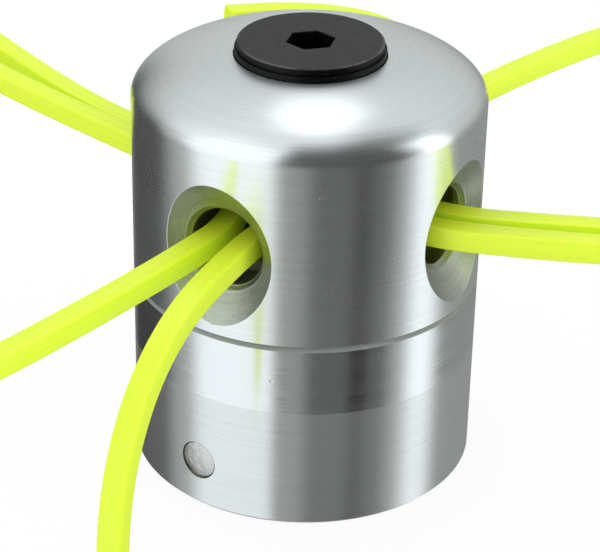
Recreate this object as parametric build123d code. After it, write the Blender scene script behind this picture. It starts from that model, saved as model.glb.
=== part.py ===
from build123d import *
import math
import os

# Aluminium trimmer head: a turned base, a domed cap with four flared ports, the screw that
# draws them together, and four square lines that pass beside the screw. Millimetres, +Z up,
# origin at the centre of the underside. The ports lie along the X and Y axes.

# Body
BODY_DIA = 48.0
BASE_HEIGHT = 27.8
BASE_FOOT_CHAMFER = 0.5
BASE_SEAM_CHAMFER = 0.6
SEAM_GAP = 0.15

# Cap
CAP_WALL_HEIGHT = 25.65
DOME_RISE = 5.84
DOME_FLAT_DIA = 19.0
CHAMBER_DIA = 32.0
CHAMBER_MOUTH_CHAMFER = 0.5
SPIGOT_CLEARANCE = 0.06

# Ports, measured along each port's own axis
PORT_RISE = 11.45
PORT_DIA = 10.8
PORT_OVERRUN = 1.0
LIP_WIDTH = 0.7
FLARE_ANGLE = 110.0
FLARE_DEPTH = 2.75

# Line
LINE_SIZE = 3.1
LINE_SIDE_CLEARANCE = 0.25
LINE_LAYER_GAP = 1.3
PINCH_CLEARANCE = 0.25

# Clamp screw
SCREW_DIA = 10.0
SCREW_LENGTH = 40.0
HEAD_DIA = 20.4
HEAD_PROUD = 1.83
HEAD_LAND = 2.3
HEAD_RIM_STEP = 0.3
HEAD_RIM_HEIGHT = 1.0
HEAD_EDGE_CHAMFER = 0.15
HEAD_SIDE_CLEARANCE = 0.1
SEAT_CLEARANCE = 0.08
SINK_ANGLE = 90.0
SOCKET_FLATS = 6.0
SOCKET_DEPTH = 5.0
SOCKET_TURN = 46.0
SCREW_HOLE_CLEARANCE = 0.25
SCREW_TIP_CHAMFER = 1.0
THREAD_CLEARANCE = 0.05

# Spindle bush and its pin
BUSH_DIA = 20.0
BUSH_HEIGHT = 18.0
BUSH_RECESS = 0.4
BUSH_CLEARANCE = 0.05
BUSH_EDGE_CHAMFER = 0.4
SPINDLE_CORE_DIA = 8.65
SPINDLE_LEAD_IN = 0.9
PIN_DIA = 5.0
PIN_RISE = 7.1
PIN_TURN = -6.0
PIN_BELOW_FLUSH = 0.3
PIN_BITE = 3.2
PIN_CLEARANCE = 0.05
PIN_EDGE_CHAMFER = 0.3
PIN_MOUTH_WIDTH = 0.2
PIN_MOUTH_DEPTH = 0.4

# Places worked out from the sizes
BODY_R = BODY_DIA / 2
CAP_FOOT = BASE_HEIGHT + SEAM_GAP
SHOULDER = CAP_FOOT + CAP_WALL_HEIGHT
CROWN = SHOULDER + DOME_RISE
PORT_Z = CAP_FOOT + PORT_RISE
LAYER_OFFSET = (LINE_SIZE + LINE_LAYER_GAP) / 2
PINCH_HALF = LAYER_OFFSET + LINE_SIZE / 2 + PINCH_CLEARANCE
CHAMBER_TOP = PORT_Z + PINCH_HALF
SPIGOT_TOP = PORT_Z - PINCH_HALF
SCREW_TOP = CROWN + HEAD_PROUD
SINK_SLOPE = math.tan(math.radians(SINK_ANGLE / 2))
BUSH_TOP = BUSH_RECESS + BUSH_HEIGHT
PIN_OUTER = BODY_R - PIN_BELOW_FLUSH
PIN_INNER = BUSH_DIA / 2 - PIN_BITE

# The lines pass the screw on each side, the Y pair in the upper layer and the X pair below
PASS = SCREW_DIA / 2 + LINE_SIZE / 2 + LINE_SIDE_CLEARANCE
PASS_HALF_RUN = 4.5
UPPER = PORT_Z + LAYER_OFFSET
LOWER = PORT_Z - LAYER_OFFSET
ARC_SHARE = 0.45


def turned(points):
    """One turned piece from the half section (radius, height) through these points."""
    return revolve(Plane.XZ * make_face(Polyline(*points, close=True)), Axis.Z)


def radial(shape, height, turn):
    """Lay a shape that was made along +Z out along -Y at this height, turned about Z."""
    return Rot(0, 0, turn) * Pos(0, 0, height) * Rot(90, 0, 0) * shape


def port_tool():
    """The cutter of one port: bore, bright lip and flare."""
    bore_r = PORT_DIA / 2
    lip_r = bore_r + LIP_WIDTH
    bore_start = CHAMBER_DIA / 2 - PORT_OVERRUN
    flare_start = BODY_R - FLARE_DEPTH
    cut_end = BODY_R + 1
    flare_r = lip_r + (cut_end - flare_start) * math.tan(math.radians(FLARE_ANGLE / 2))
    return turned([
        (0, bore_start),
        (bore_r, bore_start),
        (bore_r, flare_start - LIP_WIDTH),
        (lip_r, flare_start),
        (flare_r, cut_end),
        (0, cut_end),
    ])


def sink_tool():
    """The cutter of the seat for the screw's head, with the hole for its shank."""
    mouth_r = HEAD_DIA / 2 + HEAD_SIDE_CLEARANCE
    hole_r = SCREW_DIA / 2 + SCREW_HOLE_CLEARANCE
    land_foot = SCREW_TOP - HEAD_LAND - SEAT_CLEARANCE
    return turned([
        (0, CHAMBER_TOP - 1),
        (hole_r, CHAMBER_TOP - 1),
        (hole_r, land_foot - (mouth_r - hole_r) / SINK_SLOPE),
        (mouth_r, land_foot),
        (mouth_r, CROWN + 1),
        (0, CROWN + 1),
    ])


def line_cap():
    chamber_r = CHAMBER_DIA / 2
    flat_r = DOME_FLAT_DIA / 2
    dome = EllipticalCenterArc((flat_r, SHOULDER), BODY_R - flat_r, DOME_RISE, arc_size=90)
    outline = Polyline(
        (flat_r, CROWN),
        (0, CROWN),
        (0, CHAMBER_TOP),
        (chamber_r, CHAMBER_TOP),
        (chamber_r, CAP_FOOT + CHAMBER_MOUTH_CHAMFER),
        (chamber_r + CHAMBER_MOUTH_CHAMFER, CAP_FOOT),
        (BODY_R, CAP_FOOT),
        (BODY_R, SHOULDER),
    )
    body = Rot(0, 0, 45) * revolve(Plane.XZ * make_face(dome + outline), Axis.Z)
    body -= sink_tool()
    for turn in (0, 90, 180, 270):
        body -= radial(port_tool(), PORT_Z, turn)
    return body


def base_body():
    spigot_r = CHAMBER_DIA / 2 - SPIGOT_CLEARANCE
    spigot_lead = CHAMBER_MOUTH_CHAMFER
    thread_r = SCREW_DIA / 2 + THREAD_CLEARANCE
    bush_r = BUSH_DIA / 2 + BUSH_CLEARANCE
    body = turned([
        (bush_r, 0),
        (BODY_R - BASE_FOOT_CHAMFER, 0),
        (BODY_R, BASE_FOOT_CHAMFER),
        (BODY_R, BASE_HEIGHT - BASE_SEAM_CHAMFER),
        (BODY_R - BASE_SEAM_CHAMFER, BASE_HEIGHT),
        (spigot_r, BASE_HEIGHT),
        (spigot_r, SPIGOT_TOP - spigot_lead),
        (spigot_r - spigot_lead, SPIGOT_TOP),
        (thread_r, SPIGOT_TOP),
        (thread_r, BUSH_TOP),
        (bush_r, BUSH_TOP),
    ])
    return body - radial(pin_hole_tool(), PIN_RISE, PIN_TURN)


def pin_hole_tool():
    """The cutter of the pin's hole, wider at its mouth, down into the bush."""
    hole_r = PIN_DIA / 2 + PIN_CLEARANCE
    mouth_r = hole_r + PIN_MOUTH_WIDTH
    return turned([
        (0, PIN_INNER - PIN_CLEARANCE),
        (hole_r, PIN_INNER - PIN_CLEARANCE),
        (hole_r, BODY_R - PIN_MOUTH_DEPTH),
        (mouth_r, BODY_R - PIN_MOUTH_DEPTH + PIN_MOUTH_WIDTH),
        (mouth_r, BODY_R + 1),
        (0, BODY_R + 1),
    ])


def spindle_bush():
    bush_r = BUSH_DIA / 2
    core_r = SPINDLE_CORE_DIA / 2
    bush = turned([
        (core_r + SPINDLE_LEAD_IN, BUSH_RECESS),
        (bush_r - BUSH_EDGE_CHAMFER, BUSH_RECESS),
        (bush_r, BUSH_RECESS + BUSH_EDGE_CHAMFER),
        (bush_r, BUSH_TOP - BUSH_EDGE_CHAMFER),
        (bush_r - BUSH_EDGE_CHAMFER, BUSH_TOP),
        (core_r, BUSH_TOP),
        (core_r, BUSH_RECESS + SPINDLE_LEAD_IN),
    ])
    return bush - radial(pin_hole_tool(), PIN_RISE, PIN_TURN)


def lock_pin():
    pin_r = PIN_DIA / 2
    pin = turned([
        (0, PIN_INNER),
        (pin_r - PIN_EDGE_CHAMFER, PIN_INNER),
        (pin_r, PIN_INNER + PIN_EDGE_CHAMFER),
        (pin_r, PIN_OUTER - PIN_EDGE_CHAMFER),
        (pin_r - PIN_EDGE_CHAMFER, PIN_OUTER),
        (0, PIN_OUTER),
    ])
    return radial(pin, PIN_RISE, PIN_TURN)


def clamp_screw():
    head_r = HEAD_DIA / 2
    rim_r = head_r - HEAD_RIM_STEP
    shank_r = SCREW_DIA / 2
    rim_foot = SCREW_TOP - HEAD_RIM_HEIGHT
    land_foot = SCREW_TOP - HEAD_LAND
    tip = SCREW_TOP - SCREW_LENGTH
    screw = turned([
        (0, SCREW_TOP),
        (rim_r - HEAD_EDGE_CHAMFER, SCREW_TOP),
        (rim_r, SCREW_TOP - HEAD_EDGE_CHAMFER),
        (rim_r, rim_foot),
        (head_r, rim_foot),
        (head_r, land_foot),
        (shank_r, land_foot - (head_r - shank_r) / SINK_SLOPE),
        (shank_r, tip + SCREW_TIP_CHAMFER),
        (shank_r - SCREW_TIP_CHAMFER, tip),
        (0, tip),
    ])
    hexagon = RegularPolygon(SOCKET_FLATS / 2, 6, major_radius=False)
    socket = extrude(Pos(0, 0, SCREW_TOP - SOCKET_DEPTH) * Rot(0, 0, SOCKET_TURN) * hexagon, SOCKET_DEPTH + 1)
    return screw - socket


# Outside the ports each strand keeps the bend it took on the reel, so these points are chosen by hand.
# Every list runs outwards from its port. The unseen ends are as long as the one whose end shows.
FRONT_LEFT = [(-2.25, -15.5, 39.6), (-2.9, -26, 39.4), (-3.95, -36, 39.3), (-5.25, -47, 39.3),
              (-6.8, -58, 39.3), (-9.2, -69, 39.2), (-12.6, -79, 39.1)]
FRONT_RIGHT = [(2.25, -15.5, 39.6), (3.0, -27, 39.4), (4.2, -37.2, 38.9), (5.2, -45.8, 35.6), (5.9, -52, 29.5),
               (6.3, -55.4, 22), (6.5, -56.7, 14.5), (6.6, -57, 8.2), (6.6, -56.7, 3)]
BACK_RIGHT = [(2.25, 15.5, 39.6), (2.9, 27, 39.5), (4.3, 38, 39.4), (6.3, 49, 39.4), (8.9, 60, 39.4),
              (12.2, 71, 39.4), (16, 81, 39.3)]
BACK_LEFT = [(-2.25, 15.5, 39.6), (-2.5, 25.5, 39.7), (-3.0, 35, 39.9), (-6.3, 43.4, 40.6), (-12.1, 50, 41),
             (-19.9, 53.6, 40.9), (-28.3, 53.3, 40.5), (-35.6, 49.1, 40.6), (-40.3, 42.8, 41.1)]
RIGHT_NEAR = [(15.5, -2.25, 39.2), (22.5, -2.0, 39.3), (30.5, 0.7, 39.4), (38.5, 3.9, 39.4), (46.5, 7.7, 39.4),
              (54.5, 12.2, 39.3), (62.5, 17.6, 39.2), (69.5, 23.4, 39.1), (75.5, 29.2, 39)]
RIGHT_FAR = [(15.5, 2.25, 39.2), (23.5, 3.0, 39.3), (31, 6.0, 39.4), (38.5, 9.3, 39.4), (46, 12.9, 39.4),
             (54, 17.4, 39.4), (61.5, 22.5, 39.5), (68.5, 28.3, 39.6), (74.5, 34.2, 39.7)]
LEFT_NEAR = [(-15.5, -2.25, 39.2), (-24, -1.4, 39.3), (-33, 0.4, 39.4), (-43, 2.7, 39.4), (-53, 5.2, 39.4),
             (-63, 8.1, 39.4), (-73, 11.4, 39.4), (-82, 14.8, 39.3)]
LEFT_FAR = [(-15.5, 2.25, 39.2), (-25, 2.95, 38.8), (-34, 4.9, 38.5), (-43.5, 7.9, 38.4), (-53, 11.6, 38.4),
            (-62.5, 15.7, 38.4), (-71.5, 20, 38.3), (-79.5, 24.3, 38.2)]

LINES = {
    "line_1": list(reversed(FRONT_LEFT)) + [(-PASS, -PASS_HALF_RUN, UPPER), (-PASS, PASS_HALF_RUN, UPPER)] + BACK_LEFT,
    "line_2": list(reversed(FRONT_RIGHT)) + [(PASS, -PASS_HALF_RUN, UPPER), (PASS, PASS_HALF_RUN, UPPER)] + BACK_RIGHT,
    "line_3": list(reversed(LEFT_NEAR)) + [(-PASS_HALF_RUN, -PASS, LOWER), (PASS_HALF_RUN, -PASS, LOWER)] + RIGHT_NEAR,
    "line_4": list(reversed(LEFT_FAR)) + [(-PASS_HALF_RUN, PASS, LOWER), (PASS_HALF_RUN, PASS, LOWER)] + RIGHT_FAR,
}


def bend_radii(points):
    """The radius at each inner point: as large as its two runs allow."""
    radii = []
    for before, here, after in zip(points, points[1:], points[2:]):
        run_in = Vector(here) - Vector(before)
        run_out = Vector(after) - Vector(here)
        half_turn = math.radians(run_in.get_angle(run_out)) / 2
        radii.append(ARC_SHARE * min(run_in.length, run_out.length) / math.tan(half_turn))
    return radii


def trimmer_line(name, points):
    """A square line along straight runs joined by tangent arcs."""
    radii = bend_radii(points)
    path = FilletPolyline(*points, radius=radii)
    section = Plane(origin=path @ 0, x_dir=level_side(path % 0), z_dir=path % 0) * Rectangle(LINE_SIZE, LINE_SIZE)
    line = sweep(section, path)
    share = line.volume / (LINE_SIZE ** 2 * path.length)
    lowest = line.bounding_box().min.Z
    print(f"{name}: {path.length:.1f} mm long, smallest bend {min(radii):.1f} mm, "
          f"volume share {share:.4f}, lowest point {lowest:.2f}")
    return line


def level_side(direction):
    """A level direction across the line, so that two of its sides start upright."""
    if math.hypot(direction.X, direction.Y) < 0.2:
        return Vector(1, 0, 0)
    return Vector(direction.Y, -direction.X, 0)


def write(node, shape):
    shape.label = node
    export_step(shape, f"parts/{node}.step")


def main():
    os.makedirs("parts", exist_ok=True)
    write("base_body", base_body())
    write("line_cap", line_cap())
    write("clamp_screw", clamp_screw())
    write("spindle_bush", spindle_bush())
    write("lock_pin", lock_pin())
    for name, points in LINES.items():
        write(name, trimmer_line(name, points))


main()
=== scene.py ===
"""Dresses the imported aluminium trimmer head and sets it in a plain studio."""

import math

import bmesh
import bpy
from bpy.props import FloatProperty, FloatVectorProperty, PointerProperty
from mathutils import Euler, Matrix, Vector


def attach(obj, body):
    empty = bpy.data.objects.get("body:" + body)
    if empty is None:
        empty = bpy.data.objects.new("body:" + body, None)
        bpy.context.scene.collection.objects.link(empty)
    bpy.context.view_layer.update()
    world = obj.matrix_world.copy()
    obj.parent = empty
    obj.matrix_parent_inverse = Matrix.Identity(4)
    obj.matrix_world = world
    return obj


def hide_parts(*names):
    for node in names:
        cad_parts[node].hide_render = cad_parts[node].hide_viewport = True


bl_info = {
    "name": "Trimmer Head",
    "version": (1, 0, 0),
    "blender": (4, 5, 0),
    "location": "View3D > Sidebar > Trimmer Head",
    "description": "Dresses the packed aluminium trimmer head and sets it in a plain studio",
    "category": "Add Mesh",
}

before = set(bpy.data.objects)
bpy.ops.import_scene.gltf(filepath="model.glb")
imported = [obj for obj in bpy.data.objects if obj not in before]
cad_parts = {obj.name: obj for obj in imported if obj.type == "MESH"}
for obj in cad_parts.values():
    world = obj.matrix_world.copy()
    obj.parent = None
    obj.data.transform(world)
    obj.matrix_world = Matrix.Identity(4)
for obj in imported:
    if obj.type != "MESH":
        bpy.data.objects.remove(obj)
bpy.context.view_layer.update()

MM = 0.001
BODY = "root"

# Heights and radii of the body in millimetres, as in the part's source.
BODY_R = 24.0
CAP_FOOT = 27.95
SHOULDER = 53.6
DOME_RISE = 5.84
DOME_FLAT_R = 9.5
SINK_R = 10.3
SINK_FOOT = 58.89
SCREW_HOLE_R = 5.25
SCREW_TOP = 61.27
CHAMBER_R = 16.0
CHAMBER_TOP = 43.4
CHAMBER_CHAMFER = 0.5
PORT_Z = 39.4
PORT_BORE_R = 5.4
PORT_LIP_R = 6.1
FLARE_START = 21.25
LIP_FOOT = FLARE_START - PORT_LIP_R + PORT_BORE_R
FLARE_SLOPE = math.tan(math.radians(55))
SEAM_CHAMFER_FOOT = 27.2
BUSH_R = 10.0
BUSH_FOOT = 0.4
BUSH_TOP = 18.4
BUSH_CHAMFER = 0.4
PIN_R = 2.5
PIN_CHAMFER = 0.3
PIN_HOLE_R = 2.55
PIN_RISE = 7.1
PIN_TURN = -6.0
PIN_FOOT = 6.8
PIN_HOLE_FOOT = 6.75
PIN_MOUTH_FOOT = 23.6
PIN_MOUTH_R = 2.75

# Sizes in millimetres that only the scene has: the rubbed edges of each port's lip, the thread in the bush with
# its section as radius and height, and the pin's end, which hammer blows left domed.
LIP_EDGE = 0.13
THREAD_R = 5.0
THREAD_CREST_R = 4.34
THREAD_FOOT_R = THREAD_R + 0.1
THREAD_SECTION = ((THREAD_FOOT_R, 0.0), (THREAD_CREST_R, 0.5), (THREAD_CREST_R, 0.66), (THREAD_FOOT_R, 1.16))
THREAD_START = 1.0
THREAD_PITCH = 1.25
THREAD_TURNS = 13
BORE_CHAMFER = 0.3
PIN_RIM_R = 2.6
PIN_RIM = 23.72
PIN_CROWN = 24.02
PIN_CROWN_POWER = 2.6
# How far the cutter of a port reaches beyond the metal at both ends.
OVERSHOOT = 1.0

# Steps round each turned piece, and round one turn of the thread. The cap has the most, because its silhouette and
# its reflections show them.
CAP_STEPS = 360
PORT_STEPS = 96
BUSH_STEPS = 96
PIN_STEPS = 64
PIN_HOLE_STEPS = 48
THREAD_STEPS = 48
# Steps along the outline of the dome and of the pin's domed end.
DOME_STEPS = 24
CROWN_STEPS = 10

# An edge sharper than this is shown as an edge, on a new piece and on one that has been cut.
SHARP_ANGLE = math.radians(32)
SHARP_ANGLE_CUT = math.radians(25)

# The lines: route points in millimetres, as in the part's source, from beside the screw to each free end.
PASS = 6.8
PASS_HALF_RUN = 4.5
UPPER = 41.6
LOWER = 37.2
FRONT_LEFT = [(-2.25, -15.5, 39.6), (-2.9, -26, 39.4), (-3.95, -36, 39.3), (-5.25, -47, 39.3),
              (-6.8, -58, 39.3), (-9.2, -69, 39.2), (-12.6, -79, 39.1)]
FRONT_RIGHT = [(2.25, -15.5, 39.6), (3.0, -27, 39.4), (4.2, -37.2, 38.9), (5.2, -45.8, 35.6),
               (5.9, -52, 29.5), (6.3, -55.4, 22), (6.5, -56.7, 14.5), (6.6, -57, 8.2), (6.6, -56.7, 3)]
BACK_RIGHT = [(2.25, 15.5, 39.6), (2.9, 27, 39.5), (4.3, 38, 39.4), (6.3, 49, 39.4), (8.9, 60, 39.4),
              (12.2, 71, 39.4), (16, 81, 39.3)]
BACK_LEFT = [(-2.25, 15.5, 39.6), (-2.5, 25.5, 39.7), (-3.0, 35, 39.9), (-6.3, 43.4, 40.6), (-12.1, 50, 41),
             (-19.9, 53.6, 40.9), (-28.3, 53.3, 40.5), (-35.6, 49.1, 40.6), (-40.3, 42.8, 41.1)]
RIGHT_NEAR = [(15.5, -2.25, 39.2), (22.5, -2.0, 39.3), (30.5, 0.7, 39.4), (38.5, 3.9, 39.4),
              (46.5, 7.7, 39.4), (54.5, 12.2, 39.3), (62.5, 17.6, 39.2), (69.5, 23.4, 39.1),
              (75.5, 29.2, 39)]
RIGHT_FAR = [(15.5, 2.25, 39.2), (23.5, 3.0, 39.3), (31, 6.0, 39.4), (38.5, 9.3, 39.4), (46, 12.9, 39.4),
             (54, 17.4, 39.4), (61.5, 22.5, 39.5), (68.5, 28.3, 39.6), (74.5, 34.2, 39.7)]
LEFT_NEAR = [(-15.5, -2.25, 39.2), (-24, -1.4, 39.3), (-33, 0.4, 39.4), (-43, 2.7, 39.4), (-53, 5.2, 39.4),
             (-63, 8.1, 39.4), (-73, 11.4, 39.4), (-82, 14.8, 39.3)]
LEFT_FAR = [(-15.5, 2.25, 39.2), (-25, 2.95, 38.8), (-34, 4.9, 38.5), (-43.5, 7.9, 38.4), (-53, 11.6, 38.4),
            (-62.5, 15.7, 38.4), (-71.5, 20, 38.3), (-79.5, 24.3, 38.2)]

# Each strand: its CAD node, the point beside the screw that it starts from, the next one, its route and its port.
STRANDS = {
    "strand_front_left": ("line_1", (-PASS, 0, UPPER), (-PASS, -PASS_HALF_RUN, UPPER),
                          FRONT_LEFT, (-2.8, -24, 39.4)),
    "strand_back_left": ("line_1", (-PASS, 0, UPPER), (-PASS, PASS_HALF_RUN, UPPER),
                         BACK_LEFT, (-2.5, 24, 39.7)),
    "strand_front_right": ("line_2", (PASS, 0, UPPER), (PASS, -PASS_HALF_RUN, UPPER),
                           FRONT_RIGHT, (2.8, -24, 39.4)),
    "strand_back_right": ("line_2", (PASS, 0, UPPER), (PASS, PASS_HALF_RUN, UPPER),
                          BACK_RIGHT, (2.7, 24, 39.5)),
    "strand_left_near": ("line_3", (0, -PASS, LOWER), (-PASS_HALF_RUN, -PASS, LOWER),
                         LEFT_NEAR, (-24, -1.4, 39.3)),
    "strand_right_near": ("line_3", (0, -PASS, LOWER), (PASS_HALF_RUN, -PASS, LOWER),
                          RIGHT_NEAR, (24, -1.5, 39.3)),
    "strand_left_far": ("line_4", (0, PASS, LOWER), (-PASS_HALF_RUN, PASS, LOWER),
                        LEFT_FAR, (-24, 2.9, 38.8)),
    "strand_right_far": ("line_4", (0, PASS, LOWER), (PASS_HALF_RUN, PASS, LOWER),
                         RIGHT_FAR, (24, 3.2, 39.3)),
}


def linear(hex_colour):
    """An sRGB hex colour as the linear one that Blender works in."""
    channels = [int(hex_colour[i:i + 2], 16) / 255 for i in (1, 3, 5)]
    return tuple(c / 12.92 if c <= 0.04045 else ((c + 0.055) / 1.055) ** 2.4 for c in channels)


class HeadSizes(bpy.types.PropertyGroup):
    """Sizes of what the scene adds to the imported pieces."""
    line_width: FloatProperty(name="Line width", description="Across the flats of the square line",
                              default=3.1 * MM, min=1 * MM, max=5 * MM, unit="LENGTH")
    line_corner: FloatProperty(name="Line corner radius", description="Radius of the extruded line's corners",
                               default=0.3 * MM, min=0.05 * MM, max=1 * MM, unit="LENGTH")
    strand_length: FloatProperty(name="Strand length", description="From beside the screw to the cut end",
                                 default=85 * MM, min=30 * MM, max=200 * MM, unit="LENGTH")
    edge_break: FloatProperty(name="Edge break", description="Width of the small bevel on the cap's edges",
                              default=0.08 * MM, min=0.02 * MM, max=0.5 * MM, unit="LENGTH")
    finish_change: FloatProperty(name="Finish change", description="Height at which the base's finish changes",
                                 default=17.7 * MM, min=5 * MM, max=25 * MM, unit="LENGTH")


class HeadColours(bpy.types.PropertyGroup):
    """Base colours of the finishes."""
    aluminium: FloatVectorProperty(name="Aluminium", description="Bare turned aluminium",
                                   default=linear("#f1f4f5"), subtype="COLOR", min=0, max=1)
    flare: FloatVectorProperty(name="Flare", description="Machined faces of the ports",
                               default=linear("#c4c6c2"), subtype="COLOR", min=0, max=1)
    black_oxide: FloatVectorProperty(name="Black oxide", description="Black finish of the screw",
                                     default=linear("#0c0c0c"), subtype="COLOR", min=0, max=1)
    steel: FloatVectorProperty(name="Steel", description="Bare steel of bush and pin",
                               default=linear("#dddcd9"), subtype="COLOR", min=0, max=1)
    nylon: FloatVectorProperty(name="Nylon", description="Dye of the line",
                               default=linear("#def634"), subtype="COLOR", min=0, max=1)
    dull: FloatVectorProperty(name="Dull aluminium", description="Chamfer of the base at the seam",
                              default=linear("#b2b5b4"), subtype="COLOR", min=0, max=1)
    # Painted shade: this colour darkens the base in the chamber, and the joint round the pin, which is partly
    # dirt.
    painted_shade_and_grime: FloatVectorProperty(name="Painted shade and dirt", description="Painted shade in the chamber, and dirt with painted shade in the joint round the pin",
                               default=linear("#66655a"), subtype="COLOR", min=0, max=1)
    # Painted shade: this colour darkens each port's bore behind its lip and the cap's chamber.
    bore_painted_shade: FloatVectorProperty(name="Painted shade in the ports", description="Painted shade in each port's bore and in the cap's chamber",
                                    default=linear("#8a8974"), subtype="COLOR", min=0, max=1)
    # Dust on the screw's top, and painted light: this grey also makes the top lighter than its shaded side.
    dust_and_painted_light: FloatVectorProperty(name="Dust and painted light", description="Top of the screw, dusted and painted lighter than its shaded side",
                              default=linear("#2b2b2b"), subtype="COLOR", min=0, max=1)
    # Wear, and painted highlight: this paler colour also stands in for the highlight on the screw's top edge.
    worn_and_edge_highlight: FloatVectorProperty(name="Worn black and edge highlight", description="Where the screw's black finish has worn, and its edge's painted highlight",
                                    default=linear("#6c6a64"), subtype="COLOR", min=0, max=1)


def node(tree, kind, settings=None, **inputs):
    """Add a shader node. Settings are its properties; inputs are values or other nodes' outputs, i0 the first."""
    made = tree.nodes.new(kind)
    for key, value in (settings or {}).items():
        setattr(made, key, value)
    for key, value in inputs.items():
        by_number = key[0] == "i" and key[1:].isdigit()
        socket = made.inputs[int(key[1:]) if by_number else key.replace("_", " ")]
        if isinstance(value, bpy.types.NodeSocket):
            tree.links.new(value, socket)
        else:
            socket.default_value = value
    return made


def new_material(name, **surface):
    """A material with one Principled surface, its values set on the shader's own sockets."""
    material = bpy.data.materials.new(name)
    material.use_nodes = True
    tree = material.node_tree
    shader = tree.nodes["Principled BSDF"]
    for key, value in surface.items():
        shader.inputs[key.replace("_", " ")].default_value = value
    return material, tree, shader


def rgba(colour, shade=1.0):
    """A colour with alpha, lighter or darker by the shade."""
    return (*(channel * shade for channel in colour), 1.0)


def dress(piece, *materials):
    """Give a piece its materials in place of any that it has."""
    piece.data.materials.clear()
    for material in materials:
        piece.data.materials.append(material)


# Patterns on the metal in millimetres: how long the tool's rings are round the axis, how large the patches of
# haze and the cells that may hold a nick, over what run of the profile the tool began to chatter, over what
# distance the change of finish, the dirt and painted shade of the joint round the pin, and the painted shade
# behind a port's lip fade, and where the paler edge of the screw, worn and painted with a highlight, starts and is
# full.
RING_LENGTH = 70
HAZE_SIZE = 11
NICK_CELL = 5
CHATTER_RUN = 2
CHANGE_FADE = 0.08
JOINT_DARKENING_FADE = 0.1
BORE_SHADE_FADE = 0.3
PALE_EDGE_START_R = 9.5
PALE_EDGE_FULL_R = 9.8


def distance_from_axis(tree, place):
    """How far a place on the head is from its axis."""
    flat = node(tree, "ShaderNodeVectorMath", {"operation": "MULTIPLY"}, i0=place, i1=(1, 1, 0))
    return node(tree, "ShaderNodeVectorMath", {"operation": "LENGTH"}, i0=flat.outputs[0]).outputs["Value"]


def turned_surface(tree, shader, colour, feed, depth):
    """Rings left by the lathe and small nicks from handling, as colour and bump.
    The rings are noise that is long round the axis and as fine as the feed, in metres, along the profile."""
    place = node(tree, "ShaderNodeTexCoord").outputs["Object"]
    split = node(tree, "ShaderNodeSeparateXYZ", Vector=place)
    along = node(tree, "ShaderNodeMath", {"operation": "SUBTRACT"}, i0=split.outputs["Z"],
                 i1=distance_from_axis(tree, place)).outputs[0]
    unrolled = node(tree, "ShaderNodeCombineXYZ", X=split.outputs["X"], Y=split.outputs["Y"], Z=along)
    scaled = node(tree, "ShaderNodeMapping", Vector=unrolled.outputs[0],
                  Scale=(1 / (RING_LENGTH * MM), 1 / (RING_LENGTH * MM), 1 / feed))
    rings = node(tree, "ShaderNodeTexNoise", Vector=scaled.outputs[0], Scale=1.0, Detail=1.0).outputs[0]
    haze = node(tree, "ShaderNodeTexNoise", Vector=place, Scale=1 / (HAZE_SIZE * MM), Detail=3.0).outputs[0]
    # Nicks of about 0.3 mm, each in the middle of a cell, in a little under half of the cells.
    cells = node(tree, "ShaderNodeTexVoronoi", Vector=place, Scale=1 / (NICK_CELL * MM))
    spots = node(tree, "ShaderNodeMapRange", Value=cells.outputs["Distance"], From_Min=0.02, From_Max=0.045,
                 To_Min=1.0, To_Max=0.0)
    chance = node(tree, "ShaderNodeSeparateColor", Color=cells.outputs["Color"])
    chosen = node(tree, "ShaderNodeMath", {"operation": "GREATER_THAN"}, i0=chance.outputs[0], i1=0.55)
    nicks = node(tree, "ShaderNodeMath", {"operation": "MULTIPLY"}, i0=spots.outputs[0],
                 i1=chosen.outputs[0]).outputs[0]
    # The tool chattered where the profile turns onto the dome.
    chatter = node(tree, "ShaderNodeMapRange", Value=along, From_Min=(SHOULDER - BODY_R - CHATTER_RUN) * MM,
                   From_Max=(SHOULDER - BODY_R) * MM, To_Min=1.0, To_Max=3.0)
    relief = node(tree, "ShaderNodeMath", {"operation": "MULTIPLY"}, i0=rings, i1=chatter.outputs[0])
    dented = node(tree, "ShaderNodeMath", {"operation": "MULTIPLY_ADD"}, i0=nicks, i1=-6.0, i2=relief.outputs[0])
    bump = node(tree, "ShaderNodeBump", Strength=1.0, Distance=depth, Height=dented.outputs[0])
    tree.links.new(bump.outputs[0], shader.inputs["Normal"])
    worn = node(tree, "ShaderNodeMath", {"operation": "MULTIPLY_ADD"}, i0=nicks, i1=-0.7, i2=rings)
    tint = node(tree, "ShaderNodeMapRange", Value=worn.outputs[0], From_Min=0.25, From_Max=0.65, To_Min=0.0,
                To_Max=1.0)
    mix = node(tree, "ShaderNodeMix", {"data_type": "RGBA"}, i0=tint.outputs[0], i6=rgba(colour, 0.95),
               i7=rgba(colour))
    tree.links.new(mix.outputs[2], shader.inputs["Base Color"])
    tangent = node(tree, "ShaderNodeTangent", {"direction_type": "RADIAL", "axis": "Z"})
    tree.links.new(tangent.outputs[0], shader.inputs["Tangent"])
    return {"place": place, "height": split.outputs["Z"], "rings": rings, "haze": haze, "colour": mix.outputs[2]}


def polished_aluminium(colours):
    """Aluminium turned and then polished: vertical streaks of light, faint rings, small nicks."""
    material, tree, shader = new_material("aluminium_turned_polished", Metallic=0.96, Anisotropic=0.75,
                                          Anisotropic_Rotation=0.25)
    surface = turned_surface(tree, shader, colours.aluminium, feed=0.45 * MM, depth=0.003 * MM)
    level = node(tree, "ShaderNodeMapRange", Value=surface["haze"], From_Min=0.2, From_Max=0.8, To_Min=0.24,
                 To_Max=0.31)
    tree.links.new(level.outputs[0], shader.inputs["Roughness"])
    return material


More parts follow.
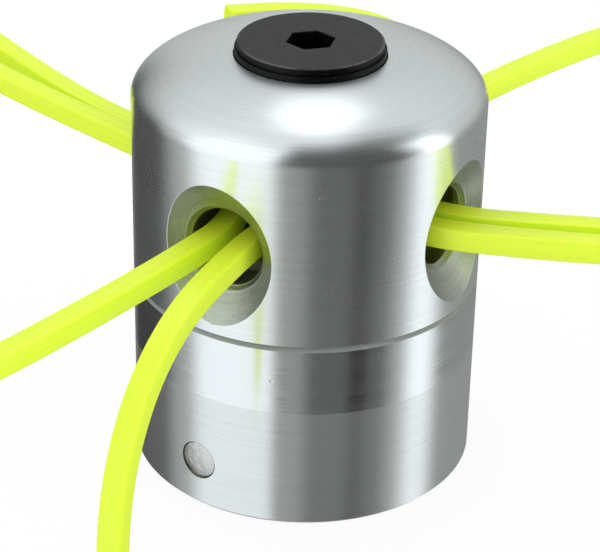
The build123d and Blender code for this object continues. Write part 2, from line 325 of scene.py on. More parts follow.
def satin_aluminium(colours, finish_change):
    """Turned aluminium: mirror-bright with fine tool lines above the finish change, satin and a little darker
    below it, dull in the chamfer at the seam, with painted shade in the chamber, and dirt with painted shade in
    the joint round the pin."""
    material, tree, shader = new_material("aluminium_turned_satin", Anisotropic=0.75, Anisotropic_Rotation=0.25)
    surface = turned_surface(tree, shader, colours.aluminium, feed=0.4 * MM, depth=0.0035 * MM)
    height = surface["height"]
    above = node(tree, "ShaderNodeMapRange", Value=height, From_Min=finish_change - CHANGE_FADE * MM,
                 From_Max=finish_change + CHANGE_FADE * MM).outputs[0]
    seam = node(tree, "ShaderNodeMath", {"operation": "GREATER_THAN"}, i0=height,
                i1=SEAM_CHAMFER_FOOT * MM).outputs[0]
    satin = node(tree, "ShaderNodeMapRange", Value=surface["haze"], From_Min=0.2, From_Max=0.8, To_Min=0.19,
                 To_Max=0.26)
    bright = node(tree, "ShaderNodeMapRange", Value=surface["rings"], From_Min=0.3, From_Max=0.7, To_Min=0.17,
                  To_Max=0.27)
    body = node(tree, "ShaderNodeMix", i0=above, i2=satin.outputs[0], i3=bright.outputs[0])
    level = node(tree, "ShaderNodeMix", i0=seam, i2=body.outputs[0], i3=0.7)
    tree.links.new(level.outputs[0], shader.inputs["Roughness"])
    body_metal = node(tree, "ShaderNodeMix", i0=above, i2=0.88, i3=0.985)
    metal = node(tree, "ShaderNodeMix", i0=seam, i2=body_metal.outputs[0], i3=0.6)
    tree.links.new(metal.outputs[0], shader.inputs["Metallic"])
    below = node(tree, "ShaderNodeMath", {"operation": "SUBTRACT"}, i0=1.0, i1=above)
    greyed = node(tree, "ShaderNodeMix", {"data_type": "RGBA", "blend_type": "MULTIPLY"}, i0=below.outputs[0],
                  i6=surface["colour"], i7=(0.87, 0.87, 0.87, 1.0))
    dull = node(tree, "ShaderNodeMix", {"data_type": "RGBA"}, i0=seam, i6=greyed.outputs[2],
                i7=rgba(colours.dull))
    # Painted shade: the base's faces in the chamber, and a ring round the pin's mouth that is partly dirt, take
    # the darker colour.
    chamber_shade = node(tree, "ShaderNodeMath", {"operation": "GREATER_THAN"}, i0=height, i1=CAP_FOOT * MM)
    from_pin = node(tree, "ShaderNodeMapping", Vector=surface["place"], Location=(0, BODY_R * MM, -PIN_RISE * MM),
                    Rotation=(0, 0, math.radians(-PIN_TURN)))
    reach = node(tree, "ShaderNodeVectorMath", {"operation": "LENGTH"}, i0=from_pin.outputs[0]).outputs["Value"]
    joint = node(tree, "ShaderNodeMapRange", Value=reach, From_Min=PIN_MOUTH_R * MM,
                 From_Max=(PIN_MOUTH_R + JOINT_DARKENING_FADE) * MM, To_Min=1.0, To_Max=0.0)
    painted_shade_and_grime = node(tree, "ShaderNodeMath", {"operation": "MAXIMUM"}, i0=chamber_shade.outputs[0], i1=joint.outputs[0])
    darkened = node(tree, "ShaderNodeMix", {"data_type": "RGBA"}, i0=painted_shade_and_grime.outputs[0], i6=dull.outputs[2],
                 i7=rgba(colours.painted_shade_and_grime))
    tree.links.new(darkened.outputs[2], shader.inputs["Base Color"])
    return material


def bored_aluminium(colours):
    """Aluminium cut by the boring and flaring tools: dull and mottled, with fine rings round the port's axis, and
    with painted shade behind the lip and in the chamber."""
    material, tree, shader = new_material("aluminium_bored", Metallic=1.0)
    place = node(tree, "ShaderNodeTexCoord").outputs["Object"]
    mottle = node(tree, "ShaderNodeTexNoise", Vector=place, Scale=1 / (0.9 * MM), Detail=4.0,
                  Roughness=0.65).outputs[0]
    # The distance from the head's axis is the depth along every port.
    depth = distance_from_axis(tree, place)
    rings = node(tree, "ShaderNodeTexNoise", {"noise_dimensions": "1D"}, W=depth, Scale=1 / (0.4 * MM),
                 Detail=2.0)
    marks = node(tree, "ShaderNodeMath", {"operation": "ADD"}, i0=mottle, i1=rings.outputs[0]).outputs[0]
    shade = node(tree, "ShaderNodeMapRange", Value=marks, From_Min=0.6, From_Max=1.4)
    mix = node(tree, "ShaderNodeMix", {"data_type": "RGBA"}, i0=shade.outputs[0], i6=rgba(colours.flare, 0.8),
               i7=rgba(colours.flare, 1.1))
    # Painted shade: the bore behind the lip, and the chamber, are darkened towards the head's axis.
    shade_behind_lip = node(tree, "ShaderNodeMapRange", Value=depth, From_Min=(LIP_FOOT - BORE_SHADE_FADE) * MM,
                      From_Max=LIP_FOOT * MM, To_Min=1.0, To_Max=0.0)
    darkened = node(tree, "ShaderNodeMix", {"data_type": "RGBA"}, i0=shade_behind_lip.outputs[0], i6=mix.outputs[2],
                 i7=rgba(colours.bore_painted_shade))
    tree.links.new(darkened.outputs[2], shader.inputs["Base Color"])
    level = node(tree, "ShaderNodeMapRange", Value=mottle, From_Min=0.2, From_Max=0.8, To_Min=0.32, To_Max=0.46)
    tree.links.new(level.outputs[0], shader.inputs["Roughness"])
    bump = node(tree, "ShaderNodeBump", Strength=1.0, Distance=0.025 * MM, Height=marks)
    tree.links.new(bump.outputs[0], shader.inputs["Normal"])
    return material


def burnished_aluminium(colours):
    """Aluminium rubbed bright by the line at the edges of each port's lip: two thin rings."""
    material, tree, shader = new_material("aluminium_burnished", Metallic=1.0, Roughness=0.35)
    place = node(tree, "ShaderNodeTexCoord").outputs["Object"]
    scuffs = node(tree, "ShaderNodeTexNoise", Vector=place, Scale=1 / (0.5 * MM), Detail=2.0).outputs[0]
    mix = node(tree, "ShaderNodeMix", {"data_type": "RGBA"}, i0=scuffs, i6=rgba(colours.aluminium, 0.75),
               i7=rgba(colours.aluminium))
    tree.links.new(mix.outputs[2], shader.inputs["Base Color"])
    bump = node(tree, "ShaderNodeBump", Strength=1.0, Distance=0.02 * MM, Height=scuffs)
    tree.links.new(bump.outputs[0], shader.inputs["Normal"])
    return material


def black_steel(colours):
    """Heat-blackened alloy steel: nearly black, with a dull sheen, faint mottling and pale specks of wear. The
    flat top is dusted grey and lighter as painted light, its edge is paler here and there with wear and a painted
    highlight, and the rim below is painted near black as shade."""
    material, tree, shader = new_material("steel_black_oxide", Specular_IOR_Level=0.22)
    place = node(tree, "ShaderNodeTexCoord").outputs["Object"]
    height = node(tree, "ShaderNodeSeparateXYZ", Vector=place).outputs["Z"]
    # Painted light and shade: the flat top takes the dusted grey, and the rim and side below it are darkened to a
    # fifth of the black as painted shade.
    top = node(tree, "ShaderNodeMapRange", Value=height, From_Min=(SCREW_TOP - 0.2) * MM,
               From_Max=(SCREW_TOP - 0.05) * MM).outputs[0]
    dusted_top_shaded_side = node(tree, "ShaderNodeMix", {"data_type": "RGBA"}, i0=top, i6=rgba(colours.black_oxide, 0.2),
                 i7=rgba(colours.dust_and_painted_light))
    specks = node(tree, "ShaderNodeTexNoise", Vector=place, Scale=1 / (0.35 * MM), Detail=2.0)
    speckled = node(tree, "ShaderNodeMapRange", Value=specks.outputs[0], From_Min=0.71, From_Max=0.78)
    # Wear and painted highlight: the top's edge turns paler in patches, standing in for the highlight on the edge.
    edge = node(tree, "ShaderNodeMapRange", Value=distance_from_axis(tree, place), From_Min=PALE_EDGE_START_R * MM,
                From_Max=PALE_EDGE_FULL_R * MM, To_Max=0.6)
    patches = node(tree, "ShaderNodeTexNoise", Vector=place, Scale=1 / (4 * MM), Detail=3.0)
    bared = node(tree, "ShaderNodeMapRange", Value=patches.outputs[0], From_Min=0.4, From_Max=0.6)
    rubbed = node(tree, "ShaderNodeMath", {"operation": "MULTIPLY"}, i0=edge.outputs[0], i1=bared.outputs[0])
    edge_wear_and_highlight = node(tree, "ShaderNodeMath", {"operation": "MULTIPLY"}, i0=rubbed.outputs[0], i1=top)
    wear = node(tree, "ShaderNodeMath", {"operation": "MAXIMUM"}, i0=speckled.outputs[0], i1=edge_wear_and_highlight.outputs[0])
    mix = node(tree, "ShaderNodeMix", {"data_type": "RGBA"}, i0=wear.outputs[0], i6=dusted_top_shaded_side.outputs[2],
               i7=rgba(colours.worn_and_edge_highlight))
    tree.links.new(mix.outputs[2], shader.inputs["Base Color"])
    mottle = node(tree, "ShaderNodeTexNoise", Vector=place, Scale=1 / (1.6 * MM), Detail=5.0,
                  Roughness=0.7).outputs[0]
    level = node(tree, "ShaderNodeMapRange", Value=mottle, From_Min=0.3, From_Max=0.7, To_Min=0.4, To_Max=0.52)
    tree.links.new(level.outputs[0], shader.inputs["Roughness"])
    bump = node(tree, "ShaderNodeBump", Strength=1.0, Distance=0.02 * MM, Height=mottle)
    tree.links.new(bump.outputs[0], shader.inputs["Normal"])
    return material


def bare_steel(name, colour, grain_size, depth, smooth, rough):
    """Bare steel with a grain of the given size: dents on the pin's end, turning marks on the bush."""
    material, tree, shader = new_material(name, Metallic=1.0)
    place = node(tree, "ShaderNodeTexCoord").outputs["Object"]
    grain = node(tree, "ShaderNodeTexNoise", Vector=place, Scale=1 / grain_size, Detail=3.0,
                 Roughness=0.6).outputs[0]
    mix = node(tree, "ShaderNodeMix", {"data_type": "RGBA"}, i0=grain, i6=rgba(colour, 0.8),
               i7=rgba(colour, 1.15))
    tree.links.new(mix.outputs[2], shader.inputs["Base Color"])
    level = node(tree, "ShaderNodeMapRange", Value=grain, From_Min=0.3, From_Max=0.7, To_Min=smooth, To_Max=rough)
    tree.links.new(level.outputs[0], shader.inputs["Roughness"])
    bump = node(tree, "ShaderNodeBump", Strength=1.0, Distance=depth, Height=grain)
    tree.links.new(bump.outputs[0], shader.inputs["Normal"])
    return material


def nylon(colours):
    """Extruded nylon line with a fluorescent dye: light goes a little way in, and the die leaves faint lines
    along it, which are drawn about 0.5 mm apart so that they show."""
    material, tree, shader = new_material("nylon_extruded_fluorescent", Roughness=0.38, IOR=1.53,
                                          Subsurface_Weight=0.45, Subsurface_Scale=1.0 * MM,
                                          Subsurface_Radius=(1.0, 0.8, 0.15))
    section = node(tree, "ShaderNodeAttribute", {"attribute_name": "section"}).outputs["Vector"]
    drawn = node(tree, "ShaderNodeMapping", Vector=section, Scale=(1 / (0.5 * MM), 1 / (0.5 * MM), 1 / (60 * MM)))
    streaks = node(tree, "ShaderNodeTexNoise", Vector=drawn.outputs[0], Scale=1.0, Detail=2.0).outputs[0]
    mix = node(tree, "ShaderNodeMix", {"data_type": "RGBA"}, i0=streaks, i6=rgba(colours.nylon, 0.9),
               i7=rgba(colours.nylon, 1.06))
    tree.links.new(mix.outputs[2], shader.inputs["Base Color"])
    bump = node(tree, "ShaderNodeBump", Strength=1.0, Distance=0.02 * MM, Height=streaks)
    tree.links.new(bump.outputs[0], shader.inputs["Normal"])
    return material


def shade(mesh, angle):
    """Shade a mesh smooth except at edges sharper than the angle."""
    mesh.shade_smooth()
    mesh.set_sharp_from_angle(angle=angle)


def finish_piece(name, shape):
    """Turn a bmesh into a piece of the object."""
    mesh = bpy.data.meshes.new(name)
    shape.to_mesh(mesh)
    shape.free()
    piece = bpy.data.objects.new(name, mesh)
    bpy.context.scene.collection.objects.link(piece)
    shade(mesh, SHARP_ANGLE)
    return piece


def spun(name, outline, steps, *materials):
    """A closed turned piece from the half section (radius, height) in millimetres."""
    shape = bmesh.new()
    corners = [shape.verts.new((radius * MM, 0, height * MM)) for radius, height in outline]
    edges = [shape.edges.new(pair) for pair in zip(corners, corners[1:])]
    if outline[0][0] > 0:
        edges.append(shape.edges.new((corners[-1], corners[0])))
    bmesh.ops.spin(shape, geom=corners + edges, axis=(0, 0, 1), angle=math.tau, steps=steps, use_merge=True)
    bmesh.ops.remove_doubles(shape, verts=shape.verts, dist=0.001 * MM)
    bmesh.ops.recalc_face_normals(shape, faces=shape.faces)
    piece = finish_piece(name, shape)
    dress(piece, *materials)
    return piece


def lay_radial(piece, height, turn):
    """Lay a piece that was spun about Z out along -Y at this height, then turn it about Z."""
    piece.data.transform(Matrix.Rotation(math.radians(turn), 4, "Z") @ Matrix.Translation((0, 0, height * MM))
                         @ Matrix.Rotation(math.radians(90), 4, "X"))


def cut(piece, cutter):
    """Take the cutter out of the piece and out of the scene. The cut faces keep the cutter's materials."""
    modifier = piece.modifiers.new("cut", "BOOLEAN")
    modifier.object = cutter
    modifier.solver = "EXACT"
    graph = bpy.context.evaluated_depsgraph_get()
    mesh = bpy.data.meshes.new_from_object(piece.evaluated_get(graph))
    piece.modifiers.clear()
    piece.data = mesh
    bpy.data.objects.remove(cutter)


def stand_for(piece, cad_node):
    """The piece rides on the body and is shown in place of a CAD node."""
    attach(piece, BODY)
    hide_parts(cad_node)


# The cap's finishes, by their order on it. The first one is polished.
BORED = 1
BURNISHED = 2


def dome():
    """The dome's outline from the shoulder to the rim of the screw's seat, a quarter of an ellipse."""
    across = BODY_R - DOME_FLAT_R
    outline = []
    for step in range(DOME_STEPS + 1):
        angle = math.radians(90 * step / DOME_STEPS)
        radius = DOME_FLAT_R + across * math.cos(angle)
        if radius > SINK_R:
            outline.append((radius, SHOULDER + DOME_RISE * math.sin(angle)))
    rim_share = math.sqrt(1 - ((SINK_R - DOME_FLAT_R) / across) ** 2)
    return [*outline, (SINK_R, SHOULDER + DOME_RISE * rim_share)]


class HEAD_OT_cap(bpy.types.Operator):
    """Turn the domed cap, bore its four flared ports and break its edges"""
    bl_idname = "trimmer_head.cap"
    bl_label = "Cap"

    def execute(self, context):
        scene = context.scene
        colours = scene.head_colours
        finishes = polished_aluminium(colours), bored_aluminium(colours), burnished_aluminium(colours)
        cap = spun("cap", [
            (CHAMBER_R + CHAMBER_CHAMFER, CAP_FOOT), (BODY_R, CAP_FOOT), *dome(), (SINK_R, SINK_FOOT),
            (SCREW_HOLE_R, SINK_FOOT - SINK_R + SCREW_HOLE_R), (SCREW_HOLE_R, CHAMBER_TOP),
            (CHAMBER_R, CHAMBER_TOP), (CHAMBER_R, CAP_FOOT + CHAMBER_CHAMFER)], CAP_STEPS, *finishes)
        chamber_r, chamber_top = (CHAMBER_R + CHAMBER_CHAMFER + 0.1) * MM, (CHAMBER_TOP + 0.1) * MM
        for face in cap.data.polygons:
            if face.center.xy.length < chamber_r and face.center.z < chamber_top:
                face.material_index = BORED
        outer = BODY_R + OVERSHOOT
        for turn in (0, 90, 180, 270):
            port = spun("port", [
                (0, CHAMBER_R - OVERSHOOT), (PORT_BORE_R, CHAMBER_R - OVERSHOOT), (PORT_BORE_R, LIP_FOOT),
                (PORT_BORE_R + LIP_EDGE, LIP_FOOT), (PORT_LIP_R - LIP_EDGE, FLARE_START),
                (PORT_LIP_R, FLARE_START), (PORT_LIP_R + (outer - FLARE_START) * FLARE_SLOPE, outer),
                (0, outer)], PORT_STEPS, *finishes)
            for face in port.data.polygons:
                reach = face.center.xy.length / MM
                rubbed = (PORT_BORE_R < reach < PORT_BORE_R + LIP_EDGE
                          or PORT_LIP_R - LIP_EDGE < reach < PORT_LIP_R)
                face.material_index = BURNISHED if rubbed else BORED
            lay_radial(port, PORT_Z, turn)
            cut(cap, port)
        shade(cap.data, SHARP_ANGLE_CUT)
        bevel = cap.modifiers.new("edge break", "BEVEL")
        bevel.width = scene.head_sizes.edge_break
        bevel.segments = 2
        bevel.limit_method = "ANGLE"
        bevel.angle_limit = SHARP_ANGLE_CUT
        bevel.use_clamp_overlap = False
        bevel.loop_slide = False
        bevel.harden_normals = True
        stand_for(cap, "line_cap")
        return {"FINISHED"}


class HEAD_OT_base(bpy.types.Operator):
    """Finish the base as turned aluminium with its change of finish"""
    bl_idname = "trimmer_head.base"
    bl_label = "Base"

    def execute(self, context):
        scene = context.scene
        dress(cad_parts["base_body"], satin_aluminium(scene.head_colours, scene.head_sizes.finish_change))
        return {"FINISHED"}


def threaded_bush(material):
    """The bush that screws onto the spindle, with its thread as one helical ridge."""
    shape = bmesh.new()
    ridge = shape.faces.new([shape.verts.new((radius * MM, 0, height * MM)) for radius, height in THREAD_SECTION])
    steps = THREAD_TURNS * THREAD_STEPS
    bmesh.ops.spin(shape, geom=[ridge], axis=(0, 0, 1), angle=math.tau * THREAD_TURNS, steps=steps,
                   dvec=(0, 0, THREAD_PITCH * THREAD_TURNS / steps * MM))
    bmesh.ops.translate(shape, vec=(0, 0, THREAD_START * MM), verts=shape.verts)
    bmesh.ops.recalc_face_normals(shape, faces=shape.faces)
    thread = finish_piece("bush_thread", shape)
    dress(thread, material)
    bush = spun("bush", [
        (THREAD_R + BORE_CHAMFER, BUSH_FOOT), (BUSH_R - BUSH_CHAMFER, BUSH_FOOT),
        (BUSH_R, BUSH_FOOT + BUSH_CHAMFER), (BUSH_R, BUSH_TOP - BUSH_CHAMFER), (BUSH_R - BUSH_CHAMFER, BUSH_TOP),
        (THREAD_R, BUSH_TOP), (THREAD_R, BUSH_FOOT + BORE_CHAMFER)], BUSH_STEPS, material)
    pin_hole = spun("pin hole", [
        (0, PIN_HOLE_FOOT), (PIN_HOLE_R, PIN_HOLE_FOOT), (PIN_HOLE_R, BODY_R), (0, BODY_R)],
        PIN_HOLE_STEPS, material)
    lay_radial(pin_hole, PIN_RISE, PIN_TURN)
    cut(bush, pin_hole)
    shade(bush.data, SHARP_ANGLE_CUT)
    for piece in (thread, bush):
        stand_for(piece, "spindle_bush")


def peened_pin(material):
    """The pin, its outer end spread by hammer blows until it fills the mouth of its hole."""
    crown = []
    for step in range(CROWN_STEPS, -1, -1):
        share = step / CROWN_STEPS
        crown.append((PIN_RIM_R * share, PIN_CROWN - (PIN_CROWN - PIN_RIM) * share ** PIN_CROWN_POWER))
    pin = spun("pin", [
        (0, PIN_FOOT), (PIN_R - PIN_CHAMFER, PIN_FOOT), (PIN_R, PIN_FOOT + PIN_CHAMFER), (PIN_R, PIN_MOUTH_FOOT),
        *crown], PIN_STEPS, material)
    lay_radial(pin, PIN_RISE, PIN_TURN)
    stand_for(pin, "lock_pin")


class HEAD_OT_hardware(bpy.types.Operator):
    """Finish the screw, the bush and the pin"""
    bl_idname = "trimmer_head.hardware"
    bl_label = "Screw, bush and pin"

    def execute(self, context):
        colours = context.scene.head_colours
        dress(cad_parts["clamp_screw"], black_steel(colours))
        threaded_bush(bare_steel("steel_turned", colours.steel, grain_size=0.5 * MM, depth=0.004 * MM,
                                 smooth=0.3, rough=0.4))
        peened_pin(bare_steel("steel_peened", colours.steel, grain_size=1.0 * MM, depth=0.1 * MM,
                              smooth=0.34, rough=0.46))
        return {"FINISHED"}


def spline_points(name, route):
    """Points along the smooth spline whose control points are the route, in metres."""
    curve = bpy.data.curves.new(name + "_route", "CURVE")
    curve.dimensions = "3D"
    curve.resolution_u = 12
    spline = curve.splines.new("NURBS")
    spline.points.add(len(route) - 1)
    for point, place in zip(spline.points, route):
        point.co = (*(Vector(place) * MM), 1)
    spline.order_u = 3
    spline.use_endpoint_u = True
    holder = bpy.data.objects.new(name + "_route", curve)
    mesh = bpy.data.meshes.new_from_object(holder)
    points = [vertex.co.copy() for vertex in mesh.vertices]
    bpy.data.meshes.remove(mesh)
    bpy.data.objects.remove(holder)
    bpy.data.curves.remove(curve)
    return points


def square_tube(name, path, sizes):
    """A square line with rounded corners along a path, its sides upright and level at the start."""
    half = sizes.line_width / 2
    shape = bmesh.new()
    corners = [shape.verts.new((x * half, y * half, 0)) for x, y in ((1, 1), (-1, 1), (-1, -1), (1, -1))]
    shape.faces.new(corners)
    bmesh.ops.bevel(shape, geom=corners, offset=sizes.line_corner, affect="VERTICES", segments=3, profile=0.5,
                    material=-1)
    # The place in the section and along the line, which the streaks of the die follow.
    section = shape.verts.layers.float_vector.new("section")
    for vertex in shape.verts:
        vertex[section] = vertex.co
    heading = (path[1] - path[0]).normalized()
    side = Vector((heading.y, -heading.x, 0)).normalized()
    start = Matrix((side, heading.cross(side), heading)).transposed()
    bmesh.ops.transform(shape, matrix=Matrix.Translation(path[0]) @ start.to_4x4(), verts=shape.verts)
    ring = list(shape.edges)
    travelled = 0.0
    for before, here, after in zip(path, path[1:], path[2:] + path[-1:]):
        travelled += (here - before).length
        new_heading = (after - before).normalized()
        swing = heading.rotation_difference(new_heading).to_matrix().to_4x4()
        grown = bmesh.ops.extrude_edge_only(shape, edges=ring)["geom"]
        moved = [item for item in grown if isinstance(item, bmesh.types.BMVert)]
        ring = [item for item in grown if isinstance(item, bmesh.types.BMEdge)
                and all(vertex in moved for vertex in item.verts)]
        placed = Matrix.Translation(here) @ swing @ Matrix.Translation(-before)
        bmesh.ops.transform(shape, matrix=placed, verts=moved)
        for vertex in moved:
            vertex[section].z = travelled
        heading = new_heading
    bmesh.ops.contextual_create(shape, geom=ring)
    bmesh.ops.recalc_face_normals(shape, faces=shape.faces)
    return finish_piece(name, shape)


class HEAD_OT_lines(bpy.types.Operator):
    """Build the strands of square nylon line, from beside the screw out to their cut ends"""
    bl_idname = "trimmer_head.lines"
    bl_label = "Lines"

    def execute(self, context):
        scene = context.scene
        sizes = scene.head_sizes
        material = nylon(scene.head_colours)
        for name, (cad_node, start, beside, route, mouth) in STRANDS.items():
            path = spline_points(name, [start, beside, *route])
            strand = square_tube(name, path, sizes)
            dress(strand, material)
            stand_for(strand, cad_node)
        return {"FINISHED"}


class HEAD_OT_stage(bpy.types.Operator):
    """Set the floor, the camera, the lamps and the studio that the metal reflects"""
    bl_idname = "trimmer_head.stage"
    bl_label = "Stage"

    def execute(self, context):
        scene = context.scene
        floor()
        camera(scene)
        studio(scene)
        scene.view_settings.view_transform = "Standard"
        return {"FINISHED"}


# The paper floor: its radius in metres, its grey, and the share of the camera's view of it that is plain white.
# The rest of that view keeps the shadow.
FLOOR_R = 3.0
PAPER = (0.9, 0.9, 0.9, 1)
PLAIN_SHARE = 0.9
WHITE = (1, 1, 1, 1)


def floor():
    """A sheet of white paper that keeps the shadow. The metal mirrors the studio in its place."""
    shape = bmesh.new()
    bmesh.ops.create_circle(shape, cap_ends=True, radius=FLOOR_R, segments=96)
    plane = finish_piece("floor", shape)
    material = bpy.data.materials.new("paper_matte_white")
    material.use_nodes = True
    tree = material.node_tree
    tree.nodes.clear()
    paper = node(tree, "ShaderNodeBsdfDiffuse", Color=PAPER)
    glow = node(tree, "ShaderNodeEmission", Color=WHITE, Strength=1.0)
    rays = node(tree, "ShaderNodeLightPath")
    seen = node(tree, "ShaderNodeMath", {"operation": "MULTIPLY"}, i0=rays.outputs["Is Camera Ray"],
                i1=PLAIN_SHARE)
    mix = node(tree, "ShaderNodeMixShader", i0=seen.outputs[0], i1=paper.outputs[0], i2=glow.outputs[0])
    node(tree, "ShaderNodeOutputMaterial", Surface=mix.outputs[0])
    dress(plane, material)
    plane.visible_glossy = False


# The photograph's viewpoint, found from the body's outline, the ports and the screw's head: place in millimetres,
# turn in degrees, lens and sensor in millimetres. The last value is the direction from the head to the camera, in
# degrees from +X.
CAMERA_PLACE = (135.795, -234.259, 173.731)
CAMERA_ANGLES = (61.3016, -1.0649, 30.8469)
CAMERA_LENS = 131.85
CAMERA_SENSOR = 36
CAMERA_TURN = -59.9


def camera(scene):
    """The camera at the photograph's viewpoint."""
    eye = bpy.data.objects.new("camera", bpy.data.cameras.new("camera"))
    eye.data.lens = CAMERA_LENS
    eye.data.sensor_width = CAMERA_SENSOR
    eye.location = Vector(CAMERA_PLACE) * MM
    eye.rotation_euler = Euler([math.radians(angle) for angle in CAMERA_ANGLES])
    scene.collection.objects.link(eye)
    scene.camera = eye


# The panels round the head that its metal shows. Each has its left and right edge in degrees from the camera, how
# soft these are, its lower and upper edge in degrees above the horizon, how soft these are, and its level. A later
# panel stands in front of an earlier one.
PANELS = (
    (-160, -100, 10, -90, 20, 24, 0.03),    # dark room behind, left
    (-112, -60, 9, 28, 66, 10, 0.9),        # upper edge of the large softbox
    (-78, -8, 9, -50, 64, 8, 1.05),         # large softbox, left
    (-82, -8, 9, 2, 64, 10, 1.2),           # its upper half, brighter
    (100, 181, 8, -90, 0, 12, 0.26),        # grey wall, right
    (64, 112, 8, 46, 75, 5, 0.16),          # grey card over the right softbox
    (-18, 58, 7, -90, 60, 8, 0.1),          # unlit side, with the camera
    (-17, 66, 6, -14, 75, 5, 0.03),         # black cloth above the camera
    (-18, 1, 7, -90, -6, 8, 0.29),          # grey card, left of the camera
    (30, 43, 4, -90, 70, 5, 0.02),          # black flag, right of the camera
    (72, 96, 9, -50, 0, 8, 1.15),           # narrow softbox, right
    (75, 96, 6, -6, 42, 8, 1.6),            # its upper half, narrower and brighter
)

# The room between the panels: the height on the unit sphere below which it is darkest, its level there and at the
# zenith, and the tints of dark and of bright parts of the studio.
ROOM_FOOT = -0.3
ROOM_LEVELS = 0.36, 0.8
DARK_TINT = (0.98, 1, 0.94, 1)
BRIGHT_TINT = (0.95, 1, 1.02, 1)
# The overhead strip light: its middle, 61 degrees above the horizon behind the head, how much narrower than long
# it is, the distances from its middle at which it starts to fade and ends, and its level.
STRIP_MIDDLE = Euler((0, math.radians(-61), math.radians(176))).to_matrix() @ Vector((1, 0, 0))
STRIP_NARROWING = 2.2
STRIP_FADE = 0.24, 0.4
STRIP_LEVEL = 1.8
# The even light on all that isn't glossy.
SOFT_LEVEL = 1.08

# The lamps: place in metres and power in watts. All have this width, and look at this point in the head.
LAMPS = {
    "key_lamp": ((-0.25, -0.9, 0.35), 0.5),
    "fill_lamp": ((0.8, 0.1, 0.4), 1.0),
    "left_lamp": ((-0.75, 0.3, 0.6), 1.0),
}
LAMP_WIDTH = 0.6
LAMP_AIM = Vector((0, 0, 0.03))


def rise(angle):
    """The height on the unit sphere of an angle above the horizon in degrees, held between nadir and zenith."""
    return math.sin(math.radians(max(-90, min(90, angle))))


def mirrored_level(tree):
    """How bright the room, its panels and the strip light are in each direction, as the metal mirrors them."""
    place = node(tree, "ShaderNodeTexCoord").outputs["Generated"]
    turned = node(tree, "ShaderNodeMapping", Vector=place,
                  Rotation=(0, 0, math.radians(-CAMERA_TURN))).outputs[0]
    sweep = node(tree, "ShaderNodeTexGradient", {"gradient_type": "RADIAL"}, Vector=turned).outputs["Fac"]
    height = node(tree, "ShaderNodeSeparateXYZ", Vector=place).outputs["Z"]
    level = node(tree, "ShaderNodeMapRange", Value=height, From_Min=ROOM_FOOT, From_Max=1.0,
                 To_Min=ROOM_LEVELS[0], To_Max=ROOM_LEVELS[1]).outputs[0]
    for left, right, side_soft, low, high, end_soft, brightness in PANELS:
        edges = [(sweep, (left + 180 - side_soft) / 360, (left + 180 + side_soft) / 360, 0, 1),
                 (sweep, (right + 180 - side_soft) / 360, (right + 180 + side_soft) / 360, 1, 0),
                 (height, rise(low - end_soft), rise(low + end_soft), 0, 1),
                 (height, rise(high - end_soft), rise(high + end_soft), 1, 0)]
        panel = 1.0
        for value, start, end, before, after in edges:
            edge = node(tree, "ShaderNodeMapRange", {"interpolation_type": "SMOOTHSTEP"}, Value=value,
                        From_Min=start, From_Max=end, To_Min=before, To_Max=after)
            panel = node(tree, "ShaderNodeMath", {"operation": "MULTIPLY"}, i0=edge.outputs[0],
                         i1=panel).outputs[0]
        level = node(tree, "ShaderNodeMix", i0=panel, i2=level, i3=brightness).outputs[0]
    away = node(tree, "ShaderNodeVectorMath", {"operation": "SUBTRACT"}, i0=turned, i1=STRIP_MIDDLE)
    narrowed = node(tree, "ShaderNodeVectorMath", {"operation": "MULTIPLY"}, i0=away.outputs[0],
                    i1=(1, STRIP_NARROWING, 1))
    off = node(tree, "ShaderNodeVectorMath", {"operation": "LENGTH"}, i0=narrowed.outputs[0]).outputs["Value"]
    strip = node(tree, "ShaderNodeMapRange", {"interpolation_type": "SMOOTHSTEP"}, Value=off,
                 From_Min=STRIP_FADE[0], From_Max=STRIP_FADE[1], To_Min=1, To_Max=0)
    return node(tree, "ShaderNodeMix", i0=strip.outputs[0], i2=level, i3=STRIP_LEVEL).outputs[0]


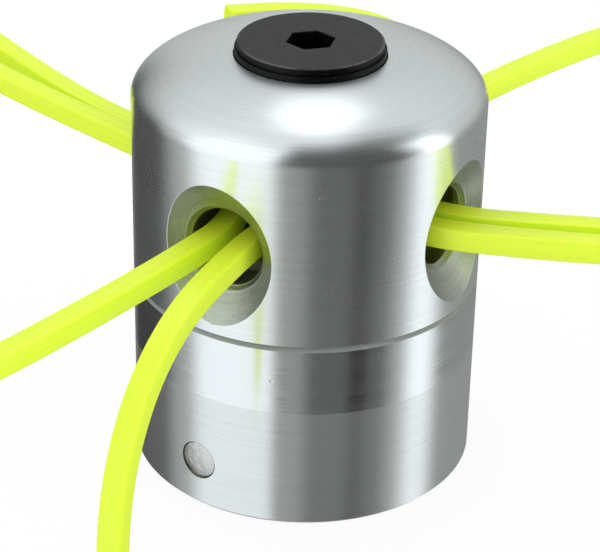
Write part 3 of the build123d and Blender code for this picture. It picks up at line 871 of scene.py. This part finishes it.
def studio(scene):
    """White for the camera, the mirrored room for the metal, an even soft light for the rest, and the lamps."""
    world = bpy.data.worlds.new("studio")
    world.use_nodes = True
    scene.world = world
    tree = world.node_tree
    tree.nodes.clear()
    level = mirrored_level(tree)
    tint = node(tree, "ShaderNodeMix", {"data_type": "RGBA"}, i0=level, i6=DARK_TINT, i7=BRIGHT_TINT)
    mirror = node(tree, "ShaderNodeBackground", Color=tint.outputs[2], Strength=level)
    soft = node(tree, "ShaderNodeBackground", Color=WHITE, Strength=SOFT_LEVEL)
    white = node(tree, "ShaderNodeBackground", Color=WHITE, Strength=1.0)
    rays = node(tree, "ShaderNodeLightPath")
    shiny = node(tree, "ShaderNodeMath", {"operation": "MAXIMUM"}, i0=rays.outputs["Is Glossy Ray"],
                 i1=rays.outputs["Is Transmission Ray"])
    lit = node(tree, "ShaderNodeMixShader", i0=shiny.outputs[0], i1=soft.outputs[0], i2=mirror.outputs[0])
    shown = node(tree, "ShaderNodeMixShader", i0=rays.outputs["Is Camera Ray"], i1=lit.outputs[0],
                 i2=white.outputs[0])
    node(tree, "ShaderNodeOutputWorld", Surface=shown.outputs[0])
    for name, (place, power) in LAMPS.items():
        lamp(scene, name, place, power)


def lamp(scene, name, place, power):
    """A square soft lamp that looks at the head and isn't mirrored in it."""
    light = bpy.data.lights.new(name, "AREA")
    light.size = LAMP_WIDTH
    light.energy = power
    holder = bpy.data.objects.new(name, light)
    holder.location = place
    holder.rotation_euler = (LAMP_AIM - Vector(place)).to_track_quat("-Z", "Y").to_euler()
    holder.visible_glossy = False
    scene.collection.objects.link(holder)


class HEAD_PT_panel(bpy.types.Panel):
    """The head's sizes, colours and operators"""
    bl_idname = "HEAD_PT_panel"
    bl_label = "Trimmer Head"
    bl_space_type = "VIEW_3D"
    bl_region_type = "UI"
    bl_category = "Trimmer Head"

    def draw(self, context):
        for group in (context.scene.head_sizes, context.scene.head_colours):
            for name in group.__annotations__:
                self.layout.prop(group, name)
        for operator in OPERATORS:
            self.layout.operator(operator.bl_idname)


OPERATORS = (HEAD_OT_lines, HEAD_OT_cap, HEAD_OT_base, HEAD_OT_hardware, HEAD_OT_stage)
CLASSES = (HeadSizes, HeadColours, *OPERATORS, HEAD_PT_panel)


def register():
    for cls in CLASSES:
        bpy.utils.register_class(cls)
    bpy.types.Scene.head_sizes = PointerProperty(type=HeadSizes)
    bpy.types.Scene.head_colours = PointerProperty(type=HeadColours)


def unregister():
    del bpy.types.Scene.head_colours
    del bpy.types.Scene.head_sizes
    for cls in reversed(CLASSES):
        bpy.utils.unregister_class(cls)


def main():
    """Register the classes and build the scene."""
    register()
    bpy.ops.trimmer_head.lines()
    bpy.ops.trimmer_head.cap()
    bpy.ops.trimmer_head.base()
    bpy.ops.trimmer_head.hardware()
    bpy.ops.trimmer_head.stage()


if __name__ == "__main__":
    main()
